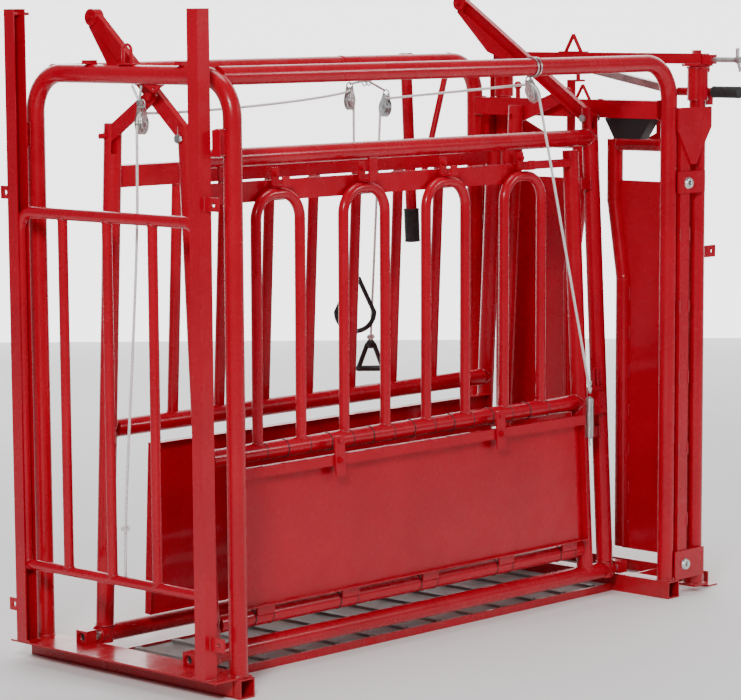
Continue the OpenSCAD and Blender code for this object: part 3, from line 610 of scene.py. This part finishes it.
def near_side_welds(bm):
    for h in (TOP_TUBE_H, MID_TUBE_H, LOW_TUBE_H):
        weld_saddle(bm, near_at(REAR_POST_X, 0, h), LONG, NEAR_UP, 0.0299, 0.0303)
    weld_round(bm, near_at(REAR_POST_X, 0, 0.0302), NEAR_UP, MAIN_R)
    weld_saddle(bm, near_at(FRONT_POST_X, 0, TOP_TUBE_H), -LONG, NEAR_UP, 0.0299, 0.0303)
    weld_round(bm, near_at(FRONT_POST_X, 0, 0.0302), NEAR_UP, MAIN_R)
    # ends of the blocks between the front post and the upright behind it
    for x in (UPRIGHT_X + 0.030, FRONT_POST_X - 0.030):
        for h in (0.520, 1.430):
            weld_line(bm, near_at(x, -0.0204, h - 0.020), near_at(x, -0.0204, h + 0.020), -NEAR_IN)
    weld_saddle(bm, near_at(UPRIGHT_X, 0, MID_TUBE_H), -LONG, NEAR_UP, 0.0296, 0.0300)
    # brackets between the latch angle and the top tube
    for x in (0.200, 0.900, 1.600):
        for h in (1.519, 1.572):
            weld_line(bm, near_at(x, -0.0142, h), near_at(x + 0.040, -0.0142, h), -NEAR_IN)
    for k in range(4):
        x = FIRST_BAR + BAR_STEP * k + 0.16
        weld_line(bm, near_at(x, -0.0242, 1.5192), near_at(x + 0.06, -0.0242, 1.5192), NEAR_UP - NEAR_IN)


def far_side_welds(bm):
    weld_round(bm, far_at(REAR_POST_X, 0, 0.0302), FAR_UP, MAIN_R)
    weld_saddle(bm, far_at(REAR_POST_X, 0, FAR_TUBE_H), LONG, FAR_UP, 0.0299, 0.0303)
    weld_round(bm, far_at(FRONT_POST_X, 0, 0.0302), FAR_UP, MAIN_R)
    weld_saddle(bm, far_at(UPRIGHT_X, 0, FAR_TUBE_H), -LONG, FAR_UP, 0.0296, 0.0300)
    # the seven upright bars, at the tube and at the angle above
    for k in range(7):
        x = 0.380 + 0.217 * k
        weld_saddle(bm, far_at(x, -0.010, FAR_TUBE_H), FAR_UP, LONG, 0.019, 0.0285)
        weld_round(bm, far_at(x, -0.010, 1.4958), FAR_UP, 0.019)


def drop_bar_welds(k):
    def make(bm):
        up = NEAR_UP * math.cos(BAR_TILT) - NEAR_IN * math.sin(BAR_TILT)
        for e in (-1, 1):
            weld_saddle(bm, near_at(bar_leg(k, e), 0, MID_TUBE_H), up, LONG, 0.018, 0.030)
    return make


def tail_gate_welds(bm):
    for y in (-0.215, 0.0, 0.215):
        weld_saddle(bm, at(TAIL_X, y, TAIL_TOP_Z), -UP, ACROSS, 0.0165, 0.019)
        weld_saddle(bm, at(TAIL_X, y, TAIL_LOW_Z), UP, ACROSS, 0.0165, 0.0170)
    for s in (-1, 1):
        weld_saddle(bm, at(TAIL_X, s * 0.428, TAIL_LOW_Z), ACROSS * -s, UP, 0.0169, 0.019)


def door_welds(s):
    """Welds of the door on side s: its handrail, and stitches down both edges of its sheet."""
    def make(bm):
        rail_z, rail_r = 1.650, 0.024
        weld_saddle(bm, at(HINGE_X, s * RAIL_Y, rail_z), ACROSS * -s, UP, rail_r, MAIN_R)
        weld_saddle(bm, at(HINGE_X, s * NECK_Y, rail_z), ACROSS * s, UP, rail_r, 0.030)
        for side in (-1, 1):
            x = HINGE_X + side * 0.0035
            for k in range(9):
                z = 0.18 + k * 0.148
                y = s * (RAIL_Y - MAIN_R)
                weld_line(bm, at(x, y, z), at(x, y, z + 0.05), (side, -s, 0))
                # the neck tube stands off the sheet's straight edge above this height
                if z < 1.1:
                    y = s * 0.160
                    weld_line(bm, at(x, y, z), at(x, y, z + 0.05), (side, s, 0))
    return make


WELDS = [("frame", frame_welds), ("near_side", near_side_welds), ("far_side", far_side_welds),
         ("tail_gate", tail_gate_welds), ("near_door", door_welds(-1)), ("far_door", door_welds(1))]
WELDS += [(f"drop_bar_{k + 1}", drop_bar_welds(k)) for k in range(4)]
for body, make in WELDS:
    new_piece(f"{body}_welds", make, WELD, body)


def seam_shade_rings(bm):
    """Dark rings in the seams between fixed and turning knuckles: painted shade standing in for the shaded
    gaps.
    """
    bar_legs = [bar_leg(k, e) for k in range(4) for e in (-1, 1)]
    seams = [(x + off, MID_TUBE_H) for x in bar_legs for off in (-0.08575, 0.01775)]
    seams += [(x + off, LOW_TUBE_H) for x in PANEL_KNUCKLES for off in (-0.04075, 0.04075)]
    for x, h in seams:
        add_ring(bm, near_at(x, 0.0, h), LONG, 0.0302, 0.0020, 8, 48)


# Painted shade: dark black-steel rings at the knuckle seams, riding the near side
new_piece("seam_shade_rings", seam_shade_rings, BLACK, "near_side")


# ---------------------------------------------------------------- bolts, rings and pulleys
def hex_head(bm, centre, axis, across, tall):
    """A hexagon head with a chamfered top, on a round washer. axis points out of the head."""
    axis = Vector(axis).normalized()
    washer_r, washer_t = across * 0.72, 0.0026
    add_lathe(bm, centre, axis, [(0, washer_r), (0.0020, washer_r), (washer_t, across * 0.68)], 28)
    corner_r = across * 0.577
    base = centre + axis * washer_t
    add_lathe(bm, base, axis, [(0, corner_r), (tall * 0.8, corner_r), (tall, corner_r * 0.86)], 6)


def stud_end(bm, centre, axis, radius, length):
    """The threaded end of a bolt: fine rings."""
    pitch = 0.0012
    profile = [(i * pitch, radius * (0.9 if i % 2 else 1.0)) for i in range(round(length / pitch))]
    profile.append((length, radius * 0.75))
    add_lathe(bm, centre, axis, profile, 20)


def frame_bolts(bm):
    for s in (-1, 1):
        # strap bolts on the head-gate plates
        for z in (0.118, 1.523):
            add_lathe(bm, at(2.252, s * STRAP_Y, z), (0, s, 0),
                      [(0, 0.0205), (0.0020, 0.0205), (0.0022, 0.0182), (0.0106, 0.0182), (0.0120, 0.0168),
                       (0.0122, 0.0085), (0.0108, 0.0080)], 40)
            stud_end(bm, at(2.252, s * 0.5180, z), (0, s, 0), 0.0055, 0.006)
        # pivot pipe collars
        for x in (0.021, 2.145):
            add_lathe(bm, at(x, s * PIVOT_Y, PIVOT_Z), LONG, [(0, 0.020), (0.004, 0.0205), (0.005, 0.020)])


def pulley_hardware(bm):
    """Rivets and rims of the pulley blocks. An eye is given by its height over the sheave's centre."""
    eyes = ((REAR_PULLEY, 0.054), (FAR_PULLEY_1, 0.044), (FAR_PULLEY_2, 0.044), (FRONT_PULLEY, 0.044))
    for pulley, eye in eyes:
        turn = pulley_turn(pulley)
        centre, across, top = at(*pulley[0]), turn @ ACROSS, turn @ UP
        for e in (-1, 1):
            # axle rivet: a domed head and its washer
            face = across * (e * 0.0114)
            add_lathe(bm, centre + face, across * e, [(0, 0.0095), (0.0012, 0.0095), (0.0014, 0.0070),
                                                      (0.0032, 0.0055), (0.0042, 0.0025)], 24)
            add_lathe(bm, centre + top * eye + face, across * e,
                      [(0, 0.0070), (0.0010, 0.0070), (0.0012, 0.0052), (0.0026, 0.0035)], 20)
            # raised rim of the cheek
            add_ring(bm, centre + across * (e * 0.0115), across, 0.0215, 0.0013, 6, 40)


def hanging_rings(bm):
    """Round rings that hold the pulley blocks to their hangers."""
    rings = ((REAR_PULLEY, 0.064, 0.013), (FAR_PULLEY_1, 0.0535, 0.012), (FAR_PULLEY_2, 0.0535, 0.012),
             (FRONT_PULLEY, 0.050, 0.010))
    for pulley, eye, radius in rings:
        turn = pulley_turn(pulley)
        add_ring(bm, at(*pulley[0]) + turn @ UP * eye, turn @ LONG, radius, 0.0026, 10, 32)
    # snap links on the far rail's hanger
    for side in (-1, 1):
        add_ring(bm, at(1.588 + side * 0.012, 0.4685, 1.889), ACROSS, 0.012, 0.0022, 8)


def screw_details(bm):
    """Thread of the head-gate adjusting screw, as a fine helix along its shank, and its handle's tips."""
    radius, pitch, turns, steps, start = 0.0090, 0.0030, 26, 14, -0.634
    thread = []
    for i in range(turns * steps + 1):
        turn = 2 * math.pi * i / steps
        thread.append(at(HINGE_X + radius * math.cos(turn), start + pitch * i / steps,
                         SCREW_Z + radius * math.sin(turn)))
    add_tube(bm, thread, 0.0008, 5)
    for e in (-1, 1):
        tip = Vector((-0.010 * e, -0.007, 0.038 * e)).normalized()
        add_lathe(bm, at(HINGE_X - 0.010 * e, -0.653, SCREW_Z + 0.038 * e) - tip * 0.003, tip,
                  [(0, 0.0058), (0.002, 0.0076), (0.006, 0.0076), (0.0075, 0.0050)], 24)


def panel_latch_bolt(x):
    def make(bm):
        hex_head(bm, near_at(x, -0.0741, 0.640), -NEAR_IN, 0.013, 0.006)
        stud_end(bm, near_at(x, -0.0826, 0.577), -NEAR_IN, 0.004, 0.004)
    return make


new_piece("frame_bolts", frame_bolts, ZINC, "frame")
for body, place in PANEL_LATCHES.items():
    new_piece(f"{body}_bolt", panel_latch_bolt(place), RED, body)
new_piece("pulley_rivets", pulley_hardware, ZINC, "frame")
new_piece("hanging_rings", hanging_rings, ZINC, "frame")
new_piece("adjusting_screw_thread", screw_details, ZINC, "adjusting_screw")


def spring_piece(bm):
    """Close-wound extension spring with a hook at each end."""
    turns, steps, top, low, radius = 34, 14, 0.752, 0.600, 0.0140
    hook_r = 0.006
    hook = [at(SPRING_X + hook_r * math.sin(a), SPRING_Y, 0.770 + hook_r * math.cos(a))
            for a in [math.radians(t) for t in range(-150, 151, 25)]]
    add_tube(bm, hook, 0.0018, 8)
    coil = []
    for i in range(turns * steps + 1):
        turn = 2 * math.pi * i / steps
        part = i / (turns * steps)
        # the end turns draw in to the axis
        r = radius * min(1.0, 0.35 + 14 * min(part, 1 - part))
        z = top + (low - top) * part
        coil.append(at(SPRING_X + r * math.cos(turn), SPRING_Y + r * math.sin(turn), z))
    add_tube(bm, coil, 0.0020, 8)
    tail = [at(SPRING_X, SPRING_Y, 0.602), at(SPRING_X, SPRING_Y, 0.590), at(1.951, -0.299, 0.580),
            at(1.957, -0.296, 0.573), at(1.964, -0.291, 0.575), at(1.966, -0.287, 0.583),
            at(1.963, -0.284, 0.589)]
    add_tube(bm, smooth_path(tail, 0.002), 0.0020, 8)


spring = new_piece("head_spring_coil", spring_piece, ZINC, "near_side")
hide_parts("head_spring")


def thimble(bm):
    """Eye at the rope's end with its clamp."""
    add_ring(bm, at(SPRING_X, SPRING_Y, 0.780), ACROSS, 0.009, 0.0024, 8)
    add_lathe(bm, at(1.9485, -0.3005, 0.794), Vector((-0.05, -0.02, 1)).normalized(),
              [(0, 0.0062), (0.002, 0.0078), (0.016, 0.0078), (0.018, 0.0062)], 24)


new_piece("rope_thimble", thimble, ZINC, "near_side")


def knot(name, centre, body):
    """A trefoil knot of the rope round its own line."""
    size, steps = 0.0042, 72

    def make(bm):
        points = []
        for t in [2 * math.pi * i / steps for i in range(steps)]:
            x, z = math.sin(t) + 2 * math.sin(2 * t), math.cos(t) - 2 * math.cos(2 * t)
            points.append(centre + Vector((x, -math.sin(3 * t) * 1.2, z)) * size)
        add_tube(bm, points + [points[0]], ROPE_R * 0.95, 10)
    new_piece(name, make, ROPE, body)


knot("tail_gate_knot", at(-0.0835, -0.036, 0.500), "tail_gate")
knot("ring_handle_knot", at(1.5215, 0.470, 1.196), "ring_handle")
knot("d_handle_knot", at(1.6035, 0.4695, 0.944), "d_handle")


def grip_ribs(name, body, start, end, radius, count):
    """Moulded ribs round a rubber grip, with a rolled lip at each end."""
    axis = (end - start).normalized()

    def make(bm):
        for i in range(count):
            add_ring(bm, start.lerp(end, (i + 0.5) / count), axis, radius, 0.0014, 6, 40)
        for point in (start, end):
            add_ring(bm, point, axis, radius - 0.001, 0.0030, 8, 40)
    new_piece(name, make, RUBBER, body)


lever_down = Vector((math.sin(LEVER_TILT), 0.0, -math.cos(LEVER_TILT)))
lever_pin = at(1.862, 0.525, 1.957)
grip_ribs("lever_grip_ribs", "squeeze_lever", lever_pin + lever_down * 0.674, lever_pin + lever_down * 0.555,
          0.028, 14)
grip_ribs("door_grip_ribs", "near_door", at(GRIP_X, -0.607, GRIP_Z), at(GRIP_X, -0.493, GRIP_Z), 0.020, 14)


# ---------------------------------------------------------------- stage
def stage_material():
    """A pale matte floor."""
    s = Shader("stage")
    pale = s.ramp(s.noise(0.6), [(0.3, (0.86, 0.86, 0.86)), (0.7, (0.90, 0.90, 0.90))])
    s.link(pale, s.out.inputs["Base Color"])
    s.out.inputs["Roughness"].default_value = 0.9
    return s.material


def backdrop_material():
    """A lit white studio wall."""
    s = Shader("backdrop")
    s.out.inputs["Base Color"].default_value = (0.9, 0.9, 0.9, 1.0)
    s.out.inputs["Emission Color"].default_value = (1.0, 1.0, 1.0, 1.0)
    s.link(s.span(s.noise(0.3), 2.4, 2.6), s.out.inputs["Emission Strength"])
    return s.material


def stage_plane(name, centre, u, v, material):
    """A flat quad with half sides u and v."""
    mesh = bpy.data.meshes.new(name)
    mesh.from_pydata([centre - u - v, centre + u - v, centre + u + v, centre - u + v], [], [(0, 1, 2, 3)])
    mesh.materials.append(material)
    plane = bpy.data.objects.new(name, mesh)
    bpy.context.scene.collection.objects.link(plane)


# The wall stands square across the camera's line of sight: the way to it over the ground
WALL_WAY = Vector((0.7210, 0.6929, 0.0))
# Lights as (name, place, size in metres, power in watts), and the point they all face
LIGHTS = [("key", (-6.0, -4.0, 4.5), 1.6, 400.0), ("rim", (4.0, -5.5, 3.5), 1.6, 120.0),
          ("top", (0.0, 0.0, 6.5), 3.0, 160.0), ("back", (3.0, 6.0, 4.0), 2.0, 60.0)]
LIT_POINT = Vector((0.0, 0.0, 1.0))


def make_stage():
    stage_plane("stage_floor", Vector((0.0, 0.0, -0.0005)), LONG * 30, ACROSS * 30, stage_material())
    stage_plane("stage_wall", WALL_WAY * 9.0 + UP * 5.0, WALL_WAY.cross(UP) * 12.0, UP * 5.0,
                backdrop_material())
    world = bpy.data.worlds.new("studio")
    world.use_nodes = True
    world.node_tree.nodes["Background"].inputs["Color"].default_value = (1.0, 1.0, 1.0, 1.0)
    world.node_tree.nodes["Background"].inputs["Strength"].default_value = 0.20
    bpy.context.scene.world = world
    for name, place, size, power in LIGHTS:
        data = bpy.data.lights.new(name, "AREA")
        data.shape = "DISK"
        data.size = size
        data.energy = power
        lamp = bpy.data.objects.new(name, data)
        lamp.location = place
        lamp.rotation_euler = (LIT_POINT - Vector(place)).to_track_quat("-Z", "Y").to_euler()
        bpy.context.scene.collection.objects.link(lamp)


make_stage()
